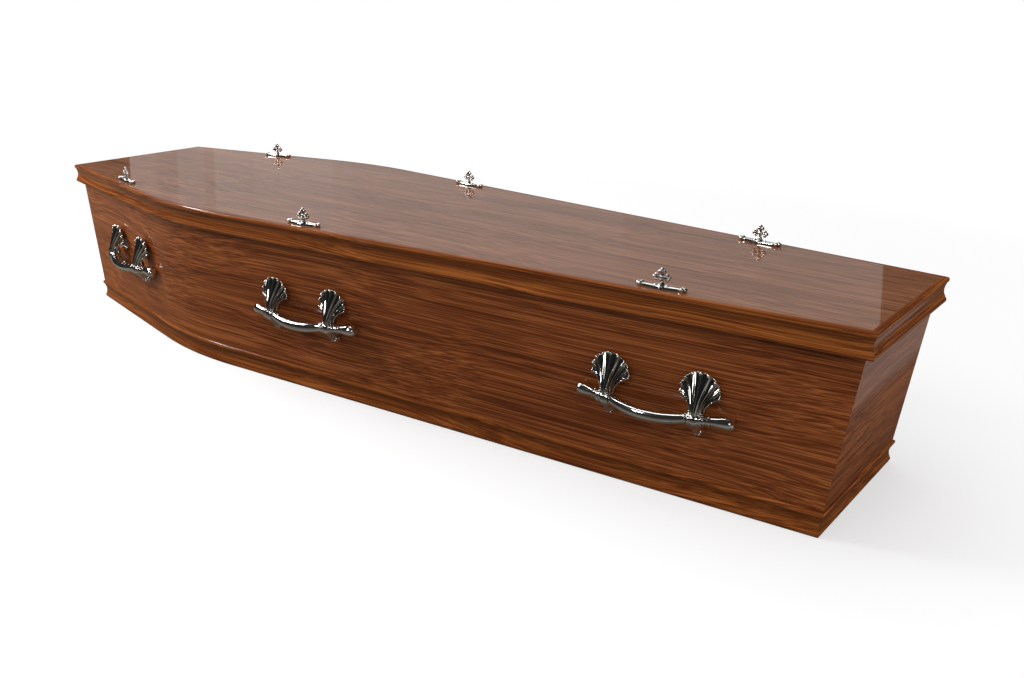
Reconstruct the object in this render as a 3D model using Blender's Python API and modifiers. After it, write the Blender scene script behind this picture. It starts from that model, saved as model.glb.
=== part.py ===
"""A shouldered wooden coffin with a flat lid, moulded edges, six bar handles and six lid screws.

Metres, +Z up. The head end points to -X, the foot end to +X and the near side to -Y.
The origin is on the ground under the middle of the lid.
"""

import math

import bmesh
import bpy
from mathutils import Matrix, Vector

# Driving dimensions of the box, measured over the lid's edge
LID_LENGTH = 2.000
HEAD_WIDTH = 0.362
FOOT_WIDTH = 0.328
SHOULDER_WIDTH = 0.595  # where the straight edges would meet
SHOULDER_FROM_HEAD = 0.580
SHOULDER_RADIUS = 0.900
SHOULDER_STEPS = 6
HEIGHT = 0.334

# Boards and mouldings
BOARD = 0.018
GAP = 0.0003
SIDE_OVERHANG = 0.015  # lid edge to side board
END_OVERHANG = 0.0115  # lid edge to the top of an end board
HEAD_LEAN = math.radians(9.1)  # the end boards lean outward towards the top
FOOT_LEAN = math.radians(7.0)
MOULDING_HEIGHT = 0.042
LID_MOULDING_DEPTH = 0.010
PLINTH_PROUD = 0.004  # plinth nose past the board above it
MITRE_ALLOWANCE = 0.040

# Places along the length, from the middle of the lid
HANDLE_STATIONS = {"head": -0.688, "middle": -0.054, "foot": 0.684}
SCREW_STATIONS = {"head": -0.700, "middle": -0.056, "foot": 0.678}
SCREW_INSET = 0.024

# Handle: the bar and the two shells that carry it
HANDLE_HEIGHT = 0.151
KNUCKLE_SPACING = 0.1505
KNUCKLE_OUT = 0.0245
KNUCKLE_LENGTH = 0.0235
KNUCKLE_RADIUS = 0.0108
BAR_TILT = math.radians(15)  # of its ends, back towards the board
BAR_BOW = 0.0135  # the middle of the bar past the knuckles
BAR_DROP = 0.0055  # and below them
BAR_RADIUS = 0.0087
BAR_SEAT_RADIUS = 0.0066
BAR_LEAD = 0.0035  # straight bar between a knuckle and the bow
BORE_RADIUS = 0.0077
BAR_TIP = 0.057  # knuckle to the tip of the turned end
SHELL_FLUTES = 8
SHELL_RADIUS = 0.0318
SHELL_CENTRE = 0.036  # above the bar
SHELL_SPREAD = math.radians(98)
SHELL_RIM_OUT = 0.0120
SHELL_CROWN = 0.0055  # how far the shell's edges fall back
NECK_WIDTH = 0.0085  # half of it
NECK_HEIGHT = 0.014
NECK_OUT = 0.0265
NECK_BACK = 0.012
ROSETTE_DROP = 0.024
ROSETTE_RADIUS = 0.0088

# Lid screw: escutcheon plate and thumbscrew
PLATE_HALF_LENGTH = 0.042
PLATE_HALF_WIDTH = 0.0080
PLATE_THICK = 0.0036
BOSS_RADIUS = 0.0070
BOSS_HEIGHT = 0.0024
CROSS_HEIGHT = 0.0280
CROSS_ARM = 0.0105  # centre of the cross to the centre of a bud
CROSS_BAR = 0.0020  # half the width of an arm
CROSS_THICK = 0.0044
BUD_RADIUS = 0.0038
BUD_LOBE = 0.26  # how far its three lobes stand past its mean radius
BUD_SPREAD = math.radians(130)

LID_TOP = HEIGHT
LID_UNDER = HEIGHT - BOARD
WALL_FOOT = MOULDING_HEIGHT


# Scene, materials and objects


def clear_scene():
    for obj in list(bpy.data.objects):
        bpy.data.objects.remove(obj, do_unlink=True)


def collection(name):
    made = bpy.data.collections.new(name)
    bpy.context.scene.collection.children.link(made)
    return made


def material(name, colour, roughness, metallic=0.0):
    made = bpy.data.materials.new(name)
    made.use_nodes = True
    shader = made.node_tree.nodes["Principled BSDF"]
    shader.inputs["Base Color"].default_value = (*colour, 1.0)
    shader.inputs["Roughness"].default_value = roughness
    shader.inputs["Metallic"].default_value = metallic
    return made


def place(name, mesh, finish, matrix=Matrix.Identity(4)):
    """One named piece of the coffin, in its collection."""
    obj = bpy.data.objects.new(name, mesh)
    obj.matrix_world = matrix
    mesh.materials.clear()
    mesh.materials.append(finish)
    PARTS.objects.link(obj)
    return obj


def helper(mesh, name="helper"):
    """An object that only helps to make another: never rendered."""
    obj = bpy.data.objects.new(name, mesh)
    obj.hide_render = True
    obj.display_type = "WIRE"
    HELPERS.objects.link(obj)
    return obj


def evaluated_mesh(obj, name):
    bpy.context.view_layer.update()
    graph = bpy.context.evaluated_depsgraph_get()
    mesh = bpy.data.meshes.new_from_object(obj.evaluated_get(graph))
    mesh.name = name
    return mesh


def finish_mesh(bm, name):
    bmesh.ops.recalc_face_normals(bm, faces=bm.faces)
    mesh = bpy.data.meshes.new(name)
    bm.to_mesh(mesh)
    bm.free()
    return mesh


def smooth(mesh, angle=math.radians(40)):
    mesh.shade_smooth()
    mesh.set_sharp_from_angle(angle=angle)
    return mesh


# Plan of the coffin


def edge_lines():
    """Points and outward normals of the lid's two straight edges, on the +Y side."""
    head = Vector((-LID_LENGTH / 2, HEAD_WIDTH / 2))
    shoulder = Vector((-LID_LENGTH / 2 + SHOULDER_FROM_HEAD, SHOULDER_WIDTH / 2))
    foot = Vector((LID_LENGTH / 2, FOOT_WIDTH / 2))
    head_run = (shoulder - head).normalized()
    foot_run = (foot - shoulder).normalized()
    return (
        (shoulder, Vector((-head_run.y, head_run.x))),
        (shoulder, Vector((-foot_run.y, foot_run.x))),
    )


def on_line(line, inset, x):
    """The point at x on a straight edge moved inward by inset."""
    point, normal = line
    y = point.y - (inset + (x - point.x) * normal.x) / normal.y
    return Vector((x, y))


def side_outline(inset, head_x, foot_x):
    """The +Y side from head to foot: straight, round the shoulder, straight."""
    head_line, foot_line = edge_lines()
    shoulder, head_normal = head_line
    foot_normal = foot_line[1]
    reach = SHOULDER_RADIUS / (1 + head_normal.dot(foot_normal))
    centre = shoulder - (head_normal + foot_normal) * reach
    first = math.atan2(head_normal.y, head_normal.x)
    last = math.atan2(foot_normal.y, foot_normal.x)
    points = [on_line(head_line, inset, head_x)]
    for step in range(SHOULDER_STEPS + 1):
        angle = first + (last - first) * step / SHOULDER_STEPS
        spoke = Vector((math.cos(angle), math.sin(angle)))
        points.append(centre + spoke * (SHOULDER_RADIUS - inset))
    points.append(on_line(foot_line, inset, foot_x))
    return points


def mirrored(points):
    return [Vector((p.x, -p.y)) for p in points]


def plan_outline(inset, head_x, foot_x):
    """The whole plan, anticlockwise from the near head corner."""
    far = side_outline(inset, head_x, foot_x)
    return mirrored(far) + far[::-1]


def head_x(height):
    """Where the head board's outer face stands at a height."""
    return END_OVERHANG - LID_LENGTH / 2 + (LID_UNDER - height) * math.tan(HEAD_LEAN)


def foot_x(height):
    return LID_LENGTH / 2 - END_OVERHANG - (LID_UNDER - height) * math.tan(FOOT_LEAN)


# Making boards and mouldings


def flat_curve(name, points, cyclic=True):
    curve = bpy.data.curves.new(name, "CURVE")
    curve.dimensions = "2D"
    spline = curve.splines.new("POLY")
    spline.points.add(len(points) - 1)
    for target, point in zip(spline.points, points):
        target.co = (point[0], point[1], 0, 1)
    spline.use_cyclic_u = cyclic
    return curve


def curve_bmesh(curve, bevel=None):
    """A curve's solid as a closed bmesh. The curve and its bevel are removed."""
    obj = helper(curve)
    mesh = evaluated_mesh(obj, "curve")
    bpy.data.objects.remove(obj)
    if bevel:
        bpy.data.objects.remove(bevel)
    bm = bmesh.new()
    bm.from_mesh(mesh)
    bpy.data.meshes.remove(mesh)
    bmesh.ops.remove_doubles(bm, verts=bm.verts, dist=1e-5)
    bmesh.ops.recalc_face_normals(bm, faces=bm.faces)
    return bm


def prism(points, low, high):
    """A flat outline made thick, from low to high."""
    curve = flat_curve("outline", points)
    curve.fill_mode = "BOTH"
    curve.extrude = (high - low) / 2
    bm = curve_bmesh(curve)
    bmesh.ops.translate(bm, verts=bm.verts, vec=(0, 0, (high + low) / 2))
    return bm


def swept(profile, path, base):
    """A profile run along a plan path: its first value points to the path's right, its second up."""
    section = helper(flat_curve("section", profile))
    curve = flat_curve("run", path, cyclic=False)
    curve.bevel_mode = "OBJECT"
    curve.bevel_object = section
    curve.use_fill_caps = True
    bm = curve_bmesh(curve, section)
    bmesh.ops.translate(bm, verts=bm.verts, vec=(0, 0, base))
    return bm


def trim(bm, point, normal):
    """Cuts away what lies in front of a plane, and closes the cut."""
    everything = bm.verts[:] + bm.edges[:] + bm.faces[:]
    cut = bmesh.ops.bisect_plane(
        bm, geom=everything, plane_co=point, plane_no=normal, clear_outer=True
    )
    rim = [item for item in cut["geom_cut"] if isinstance(item, bmesh.types.BMEdge)]
    bmesh.ops.holes_fill(bm, edges=rim)


# The walls


def foot_corner(inset, height, depth=0.0):
    """A far corner of the walls: inset is from the lid's edge, depth into the end board."""
    x = foot_x(height) - depth / math.cos(FOOT_LEAN)
    point = on_line(edge_lines()[1], inset, x)
    return Vector((point.x, point.y, height))


def head_corner(inset, height, depth=0.0):
    x = head_x(height) + depth / math.cos(HEAD_LEAN)
    point = on_line(edge_lines()[0], inset, x)
    return Vector((point.x, point.y, height))


def wall_mitre(corner):
    """The leaning mitre plane between a side board and an end board, its normal to the end."""
    outer_low = corner(SIDE_OVERHANG, WALL_FOOT)
    outer_high = corner(SIDE_OVERHANG, LID_UNDER)
    inner_low = corner(SIDE_OVERHANG + BOARD, WALL_FOOT, BOARD)
    normal = (inner_low - outer_low).cross(outer_high - outer_low).normalized()
    if normal.x * outer_low.x < 0:
        normal.negate()
    return outer_low, normal


def flipped(vector, side):
    """The same vector on the far side, where side is 1, or the near side, where it is -1."""
    return Vector((vector.x, vector.y * side, vector.z))


def side_board(name, side):
    over = LID_LENGTH / 2
    outer = side_outline(SIDE_OVERHANG, -over, over)
    inner = side_outline(SIDE_OVERHANG + BOARD, -over, over)
    outline = outer + inner[::-1]
    if side < 0:
        outline = mirrored(outline)
    bm = prism(outline, WALL_FOOT, LID_UNDER - GAP)
    for corner in (foot_corner, head_corner):
        point, normal = wall_mitre(corner)
        trim(bm, flipped(point - normal * GAP / 2, side), flipped(normal, side))
    place(name, finish_mesh(bm, name), VENEER)


def end_board(name, corner, lean, turn):
    """The head or the foot board: turn is how it stands round from facing +X."""
    bm = bmesh.new()
    bmesh.ops.create_cube(bm, size=1)
    scale = (BOARD, SHOULDER_WIDTH, 2 * HEIGHT)
    bmesh.ops.scale(bm, vec=scale, verts=bm.verts)
    bmesh.ops.translate(bm, vec=(-BOARD / 2, 0, 0), verts=bm.verts)
    top = Matrix.Translation((LID_LENGTH / 2 - END_OVERHANG, 0, LID_UNDER))
    leaning = Matrix.Rotation(turn, 4, "Z") @ top @ Matrix.Rotation(lean, 4, "Y")
    bmesh.ops.transform(bm, matrix=leaning, verts=bm.verts)
    trim(bm, (0, 0, LID_UNDER - GAP), (0, 0, 1))
    trim(bm, (0, 0, WALL_FOOT), (0, 0, -1))
    point, normal = wall_mitre(corner)
    for side in (-1, 1):
        trim(bm, flipped(point + normal * GAP / 2, side), -flipped(normal, side))
    place(name, finish_mesh(bm, name), VENEER)


# Mouldings


def arc(centre, radii, first, last, steps):
    """Points round an ellipse, from one angle to another in degrees."""
    points = []
    for step in range(steps + 1):
        angle = math.radians(first + (last - first) * step / steps)
        x = centre[0] + radii[0] * math.cos(angle)
        y = centre[1] + radii[1] * math.sin(angle)
        points.append((x, y))
    return points


def moulding_profile(depth):
    """Nose, cove and lower bead, as (outward, up) from the nose's line and the foot."""
    nose = arc((-0.0045, MOULDING_HEIGHT - 0.005), (0.0045, 0.005), 90, -55, 4)
    bead = arc((-0.0026, 0.0042), (0.0026, 0.0042), 55, -90, 3)
    start = nose[-1]
    end = bead[0]
    cove = []
    for step in range(1, 4):
        along = step / 4
        out = start[0] + (end[0] - start[0]) * along - 0.0030 * math.sin(math.pi * along)
        up = start[1] + (end[1] - start[1]) * along
        cove.append((out, up))
    return [(-depth, MOULDING_HEIGHT)] + nose + cove + bead + [(-depth, 0.0)]


def runs(inset, head, foot):
    """Plan paths of the four mouldings of one ring, anticlockwise, between two ends."""
    far = side_outline(inset, head, foot)
    near = mirrored(far)
    return {
        "near_side": near,
        "foot": [near[-1], far[-1]],
        "far_side": far[::-1],
        "head": [far[0], near[0]],
    }


def corner_normal(before, after):
    """The level normal of the mitre between two runs that meet."""
    arriving = (before[-1] - before[-2]).normalized()
    leaving = (after[1] - after[0]).normalized()
    bisector = (arriving + leaving).normalized()
    return Vector((bisector.x, bisector.y, 0))


def lengthened(path):
    """The path with both ends run on past their mitres."""
    first = path[0] - (path[1] - path[0]).normalized() * MITRE_ALLOWANCE
    last = path[-1] + (path[-1] - path[-2]).normalized() * MITRE_ALLOWANCE
    return [first] + path[1:-1] + [last]


def lean_with_walls(bm):
    """Draws the ends in towards the ground, as the end boards above do."""
    for vertex in bm.verts:
        if vertex.co.x > 0:
            share = vertex.co.x / foot_x(WALL_FOOT)
            vertex.co.x -= share * (WALL_FOOT - vertex.co.z) * math.tan(FOOT_LEAN)
        else:
            share = vertex.co.x / head_x(WALL_FOOT)
            vertex.co.x += share * (WALL_FOOT - vertex.co.z) * math.tan(HEAD_LEAN)


def moulding_ring(prefix, paths, profile, base, leaning=False):
    """Four mouldings that meet in mitres round the plan."""
    names = list(paths)
    for index, name in enumerate(names):
        path = paths[name]
        before = paths[names[index - 1]]
        after = paths[names[(index + 1) % len(names)]]
        bm = swept(profile, lengthened(path), base)
        leaving = corner_normal(path, after)
        arriving = corner_normal(before, path)
        trim(bm, path[-1].to_3d() - leaving * GAP / 2, leaving)
        trim(bm, path[0].to_3d() + arriving * GAP / 2, -arriving)
        if leaning:
            lean_with_walls(bm)
        place(f"{prefix}_{name}", smooth(finish_mesh(bm, name)), MOULDING)


def plinth():
    """Mouldings under the walls: the profile's nose stands a little past the boards."""
    shift = PLINTH_PROUD
    profile = moulding_profile(BOARD + PLINTH_PROUD)
    profile = [(out + shift, up * (1 - GAP / MOULDING_HEIGHT)) for out, up in profile]
    paths = runs(SIDE_OVERHANG, head_x(WALL_FOOT), foot_x(WALL_FOOT))
    moulding_ring("plinth", paths, profile, 0, leaning=True)


def lid():
    edge = LID_LENGTH / 2
    board_edge = LID_MOULDING_DEPTH + GAP
    outline = plan_outline(board_edge, board_edge - edge, edge - board_edge)
    bm = prism(outline, LID_UNDER, LID_TOP)
    place("lid_board", finish_mesh(bm, "lid_board"), LID_VENEER)
    profile = moulding_profile(LID_MOULDING_DEPTH)
    moulding_ring("lid_moulding", runs(0, -edge, edge), profile, LID_TOP - MOULDING_HEIGHT)


def base_board():
    inset = SIDE_OVERHANG + BOARD + GAP
    head = head_x(WALL_FOOT) + BOARD + GAP
    foot = foot_x(WALL_FOOT) - BOARD - GAP
    bm = prism(plan_outline(inset, head, foot), 0, BOARD)
    lean_with_walls(bm)
    place("base_board", finish_mesh(bm, "base_board"), PLAIN_BOARD)


# Handles: X along the board, -Y out of it, Z up, the origin on the board level with the knuckles


def bar_lead():
    """Distance along the bar from a knuckle's middle to the start of the bow."""
    return KNUCKLE_LENGTH / 2 + BAR_LEAD


def bow_arc():
    """Radius and half angle of the bowed middle of the bar, and the way it bows."""
    half_chord = KNUCKLE_SPACING / 2 - bar_lead() * math.cos(BAR_TILT)
    bow = Vector((0, bar_lead() * math.sin(BAR_TILT) - BAR_BOW, -BAR_DROP))
    radius = (half_chord**2 + bow.length**2) / (2 * bow.length)
    return radius, math.asin(half_chord / radius), bow.normalized()


def knuckle_run():
    """Distance along the bar from its middle to a knuckle's middle."""
    radius, sweep, _ = bow_arc()
    return radius * sweep + bar_lead()


def bar_point(run):
    """A point of the bar's axis, by its distance along the bar from the middle."""
    radius, sweep, bow = bow_arc()
    angle = min(abs(run) / radius, sweep)
    straight = max(0.0, abs(run) - radius * sweep)
    across = radius * math.sin(angle) + straight * math.cos(BAR_TILT)
    point = bow * radius * (math.cos(angle) - math.cos(sweep))
    point.y -= KNUCKLE_OUT + (bar_lead() - straight) * math.sin(BAR_TILT)
    point.x = math.copysign(across, run)
    return point


def bar_profile():
    """The turned bar from its middle outward, as (distance along, radius)."""
    knuckle = knuckle_run()
    half = KNUCKLE_LENGTH / 2
    tip = knuckle + BAR_TIP
    return [
        (0.022, BAR_RADIUS),
        (0.044, BAR_RADIUS * 0.96),
        (knuckle - half - 0.0040, BAR_RADIUS * 0.84),
        (knuckle - half - 0.0018, BAR_RADIUS),
        (knuckle - half - 0.0004, BAR_SEAT_RADIUS),
        (knuckle + half + 0.0004, BAR_SEAT_RADIUS),
        (knuckle + half + 0.0020, BAR_RADIUS),
        (knuckle + half + 0.0060, BAR_RADIUS * 0.78),
        (tip - 0.0090, BAR_RADIUS * 1.16),
        (tip, BAR_RADIUS * 0.46),
    ]


def bar_curve():
    outward = bar_profile()
    inward = [(-run, radius) for run, radius in outward[::-1]]
    stations = inward + [(0.0, BAR_RADIUS)] + outward
    curve = bpy.data.curves.new("handle_bar", "CURVE")
    curve.dimensions = "3D"
    curve.bevel_depth = 1.0
    curve.bevel_resolution = 2
    curve.use_fill_caps = True
    spline = curve.splines.new("POLY")
    spline.points.add(len(stations) - 1)
    for target, (run, radius) in zip(spline.points, stations):
        target.co = (*bar_point(run), 1)
        target.radius = radius
    return curve


def bar_mesh():
    return smooth(finish_mesh(curve_bmesh(bar_curve()), "handle_bar"))


def shell_plan(column, row):
    """Across and up, on the shell: column runs from -SHELL_FLUTES to SHELL_FLUTES, with ridges
    on the even columns and hollows between them, and row from 0 at the neck to 1 at the rim."""
    across = column / SHELL_FLUTES
    angle = across * SHELL_SPREAD
    reach = SHELL_RADIUS - (column % 2) * 0.0018
    neck = Vector((across * NECK_WIDTH, NECK_HEIGHT))
    bend = Vector((across * NECK_WIDTH * 1.15, SHELL_CENTRE * 0.72))
    rim = Vector((reach * math.sin(angle), SHELL_CENTRE + reach * math.cos(angle)))
    return neck * (1 - row) ** 2 + bend * 2 * row * (1 - row) + rim * row**2


def shell_front(column, row):
    """A point of the fluted front."""
    plan = shell_plan(column, row)
    relief = -0.0012 if column % 2 else 0.0009
    crown = SHELL_CROWN * (column / SHELL_FLUTES) ** 2 * row
    out = NECK_OUT + (SHELL_RIM_OUT - NECK_OUT) * row**0.8 - crown + relief
    return Vector((plan.x, -out, plan.y))


def shell_back(column, row):
    """A point of the flat back, which lies on the board but for the neck."""
    plan = shell_plan(column, row)
    out = GAP if row else NECK_BACK
    return Vector((plan.x, -out, plan.y))


def root_point(column, out):
    """A point of the neck's foot, inside the ring round the bar."""
    across = column / SHELL_FLUTES
    return Vector((across * NECK_WIDTH * 0.85, -out, 0.005))


def shell_fan():
    """The fan as a closed solid: a fluted front and a plain back."""
    columns = range(-SHELL_FLUTES, SHELL_FLUTES + 1)
    rows = (0.0, 0.5, 1.0)
    bm = bmesh.new()
    front = [[bm.verts.new(root_point(column, NECK_OUT)) for column in columns]]
    front += [[bm.verts.new(shell_front(column, row)) for column in columns] for row in rows]
    for low, high in zip(front, front[1:]):
        for index in range(len(low) - 1):
            bm.faces.new((low[index], low[index + 1], high[index + 1], high[index]))
    back = []
    for column in (columns[0], columns[-1]):
        edge = [bm.verts.new(root_point(column, NECK_BACK + 0.006))]
        edge += [bm.verts.new(shell_back(column, row)) for row in rows]
        back.append(edge)
    left, right = back
    middle = [bm.verts.new(shell_back(column, 1.0)) for column in columns[1:-1]]
    rim = [left[-1]] + middle + [right[-1]]
    for index in range(len(rim) - 1):
        bm.faces.new((front[-1][index], front[-1][index + 1], rim[index + 1], rim[index]))
    for index in range(len(rows)):
        low, high = front[index], front[index + 1]
        bm.faces.new((low[0], high[0], left[index + 1], left[index]))
        bm.faces.new((high[-1], low[-1], right[index], right[index + 1]))
    for index in range(len(rows) - 1):
        bm.faces.new((left[index], right[index], right[index + 1], left[index + 1]))
    bm.faces.new(front[0] + [right[0], left[0]])
    bm.faces.new([left[-2]] + rim + [right[-2]])
    bmesh.ops.triangulate(bm, faces=bm.faces)
    return finish_mesh(bm, "shell_fan")


def cone(radius_low, radius_high, length, segments, matrix):
    bm = bmesh.new()
    bmesh.ops.create_cone(
        bm,
        cap_ends=True,
        segments=segments,
        radius1=radius_low,
        radius2=radius_high,
        depth=length,
        matrix=matrix,
    )
    return finish_mesh(bm, "cone")


def along(direction, centre):
    """A matrix that lays +Z along a direction, at a centre."""
    turn = Vector(direction).to_track_quat("Z", "Y").to_matrix().to_4x4()
    return Matrix.Translation(centre) @ turn


def knuckle_mesh(matrix):
    """The ring round the bar, a short barrel."""
    half = KNUCKLE_LENGTH / 2
    profile = [
        (0.0, half),
        (KNUCKLE_RADIUS * 0.92, half),
        (KNUCKLE_RADIUS * 1.04, 0.0),
        (KNUCKLE_RADIUS * 0.92, -half),
        (0.0, -half),
    ]
    mesh = bpy.data.meshes.new("knuckle")
    edges = [(index, index + 1) for index in range(len(profile) - 1)]
    mesh.from_pydata([(radius, 0, height) for radius, height in profile], edges, [])
    obj = helper(mesh)
    turned = obj.modifiers.new("Turned", "SCREW")
    turned.steps = 8
    turned.render_steps = 8
    turned.use_merge_vertices = True
    turned.merge_threshold = 0.0001
    mesh = evaluated_mesh(obj, "knuckle")
    bpy.data.objects.remove(obj)
    mesh.transform(matrix)
    return mesh


def combined(base, name, joined=(), bored=()):
    """One mesh from a base with others joined to it and others cut from it."""
    obj = helper(base)
    tools = [(mesh, "UNION") for mesh in joined] + [(mesh, "DIFFERENCE") for mesh in bored]
    objects = []
    for mesh, operation in tools:
        tool = helper(mesh)
        objects.append(tool)
        step = obj.modifiers.new(operation, "BOOLEAN")
        step.operation = operation
        step.object = tool
    result = evaluated_mesh(obj, name)
    for used in objects + [obj]:
        bpy.data.objects.remove(used)
    bm = bmesh.new()
    bm.from_mesh(result)
    bmesh.ops.remove_doubles(bm, verts=bm.verts, dist=1e-5)
    bmesh.ops.dissolve_degenerate(bm, edges=bm.edges, dist=1e-5)
    bmesh.ops.triangulate(bm, faces=bm.faces)
    return finish_mesh(bm, name)


def post(low, high, low_radius, high_radius, segments):
    """A tapered post between two points."""
    run = high - low
    return cone(low_radius, high_radius, run.length, segments, along(run, (low + high) / 2))


def shell_mesh():
    """The shell of the +X knuckle, with its ring and its tail down to a rosette."""
    centre = Vector((0, -KNUCKLE_OUT, 0))
    axis = (math.cos(BAR_TILT), math.sin(BAR_TILT), 0)
    ring = knuckle_mesh(along(axis, centre))
    bore = cone(BORE_RADIUS, BORE_RADIUS, 0.06, 8, along(axis, centre))
    tail_foot = Vector((0, -0.0110, -ROSETTE_DROP))
    tail_top = Vector((0, 0.0040 - KNUCKLE_OUT, -0.0040))
    tail = post(tail_foot, tail_top, 0.0068, 0.0098, 7)
    rosette_foot = Vector((0, -GAP, -ROSETTE_DROP))
    rosette_top = Vector((0, -0.0140, -ROSETTE_DROP))
    rosette = post(rosette_foot, rosette_top, ROSETTE_RADIUS, ROSETTE_RADIUS * 0.6, 8)
    return smooth(combined(shell_fan(), "shell", (ring, tail, rosette), (bore,)))


def mirrored_mesh(mesh, name):
    copy = mesh.copy()
    copy.name = name
    copy.transform(Matrix.Scale(-1, 4, (1, 0, 0)))
    copy.flip_normals()
    return copy


def station_frame(inset, x, side, height):
    """Stands on a side's face at x, with X along it and -Y out of it."""
    head_line, foot_line = edge_lines()
    head_half = x < side_outline(0, -1, 1)[SHOULDER_STEPS // 2 + 1].x
    line = head_line if head_half else foot_line
    point = on_line(line, inset, x)
    normal = Vector((line[1].x, line[1].y * side, 0))
    turn = math.atan2(normal.x, -normal.y)
    origin = Vector((point.x, point.y * side, height))
    return Matrix.Translation(origin) @ Matrix.Rotation(turn, 4, "Z")


def handles():
    bar = bar_mesh()
    right = shell_mesh()
    left = mirrored_mesh(right, "shell_left")
    for side, side_name in ((-1, "near"), (1, "far")):
        for station, x in HANDLE_STATIONS.items():
            name = f"{side_name}_{station}_handle"
            frame = station_frame(SIDE_OVERHANG, x, side, HANDLE_HEIGHT)
            place(f"{name}_bar", bar, METAL, frame)
            for mesh, offset, hand in ((left, -0.5, "left"), (right, 0.5, "right")):
                shift = Matrix.Translation((KNUCKLE_SPACING * offset, 0, 0))
                place(f"{name}_shell_{hand}", mesh, METAL, frame @ shift)


# Lid screws: X along the lid's edge, Z up, the origin on the lid


def bud(centre, radius, heading):
    """A bud of three lobes at the end of an arm, as points round it."""
    points = []
    for step in range(-3, 4):
        angle = BUD_SPREAD * step / 3
        reach = radius * (1 + (BUD_LOBE if step % 2 == 0 else -BUD_LOBE))
        x = centre[0] + reach * math.cos(heading + angle)
        y = centre[1] + reach * math.sin(heading + angle)
        points.append((x, y))
    return points


def plate_outline():
    """A long lozenge with a bud at each end."""
    bud_centre = PLATE_HALF_LENGTH - BUD_RADIUS * (1 + BUD_LOBE)
    shoulder = bud_centre * 0.5
    right = bud((bud_centre, 0), BUD_RADIUS, 0)
    left = bud((-bud_centre, 0), BUD_RADIUS, math.pi)
    top = [
        (shoulder, PLATE_HALF_WIDTH * 0.66),
        (0, PLATE_HALF_WIDTH),
        (-shoulder, PLATE_HALF_WIDTH * 0.66),
    ]
    bottom = [(-x, -y) for x, y in top]
    return right + top + left + bottom


def plate_mesh():
    plate = finish_mesh(prism(plate_outline(), GAP, PLATE_THICK), "plate")
    top = BOSS_HEIGHT + PLATE_THICK
    low = 0.0010
    lift = Matrix.Translation((0, 0, (top + low) / 2))
    boss = cone(BOSS_RADIUS, BOSS_RADIUS * 0.72, top - low, 8, lift)
    return smooth(combined(plate, "screw_plate", (boss,)))


def cross_outline():
    """An upright cross with budded ends on a stem, as (across, up)."""
    middle = CROSS_HEIGHT - CROSS_ARM - BUD_RADIUS * (1 + BUD_LOBE)
    right = bud((CROSS_ARM, middle), BUD_RADIUS, 0)
    top = bud((0, middle + CROSS_ARM), BUD_RADIUS, math.pi / 2)
    left = bud((-CROSS_ARM, middle), BUD_RADIUS, math.pi)
    low = middle - CROSS_BAR
    high = middle + CROSS_BAR
    stem = 0.0005
    start = [(CROSS_BAR, stem), (CROSS_BAR, low)]
    end = [(-CROSS_BAR, low), (-CROSS_BAR, stem)]
    return start + right + [(CROSS_BAR, high)] + top + [(-CROSS_BAR, high)] + left + end


def cross_mesh():
    upright = Matrix.Rotation(math.pi / 2, 4, "X")
    bm = prism(cross_outline(), -CROSS_THICK / 2, CROSS_THICK / 2)
    bmesh.ops.transform(bm, matrix=upright, verts=bm.verts)
    cross = finish_mesh(bm, "cross")
    collar = cone(0.0046, 0.0030, 0.0045, 6, Matrix.Translation((0, 0, 0.00225)))
    return smooth(combined(cross, "lid_screw", (collar,)))


def lid_screws():
    plate = plate_mesh()
    cross = cross_mesh()
    stand = Matrix.Translation((0, 0, PLATE_THICK + BOSS_HEIGHT + GAP))
    for side, side_name in ((-1, "near"), (1, "far")):
        for station, x in SCREW_STATIONS.items():
            name = f"{side_name}_{station}_lid_screw"
            frame = station_frame(SCREW_INSET, x, side, LID_TOP)
            place(f"{name}_plate", plate, METAL, frame)
            place(f"{name}_cross", cross, METAL, frame @ stand)


clear_scene()
PARTS = collection("wooden_coffin")
HELPERS = collection("helpers")
VENEER = material("gloss_veneer", (0.24, 0.075, 0.032), 0.22)
LID_VENEER = material("gloss_lid_veneer", (0.17, 0.060, 0.035), 0.15)
MOULDING = material("gloss_moulding", (0.34, 0.13, 0.045), 0.25)
PLAIN_BOARD = material("plain_board", (0.42, 0.27, 0.15), 0.70)
METAL = material("polished_nickel", (0.72, 0.70, 0.67), 0.12, 1.0)

base_board()
plinth()
side_board("near_side_board", -1)
side_board("far_side_board", 1)
end_board("head_board", head_corner, HEAD_LEAN, math.pi)
end_board("foot_board", foot_corner, FOOT_LEAN, 0)
lid()
handles()
lid_screws()
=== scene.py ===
"""The looks of a shouldered wooden coffin: lacquered veneer and polished nickel fittings.

Metres, in the frame of the solids: +X to the foot end, -Y to the near side, +Z up.
"""

import math

import bmesh
import bpy
from mathutils import Matrix, Vector

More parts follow.
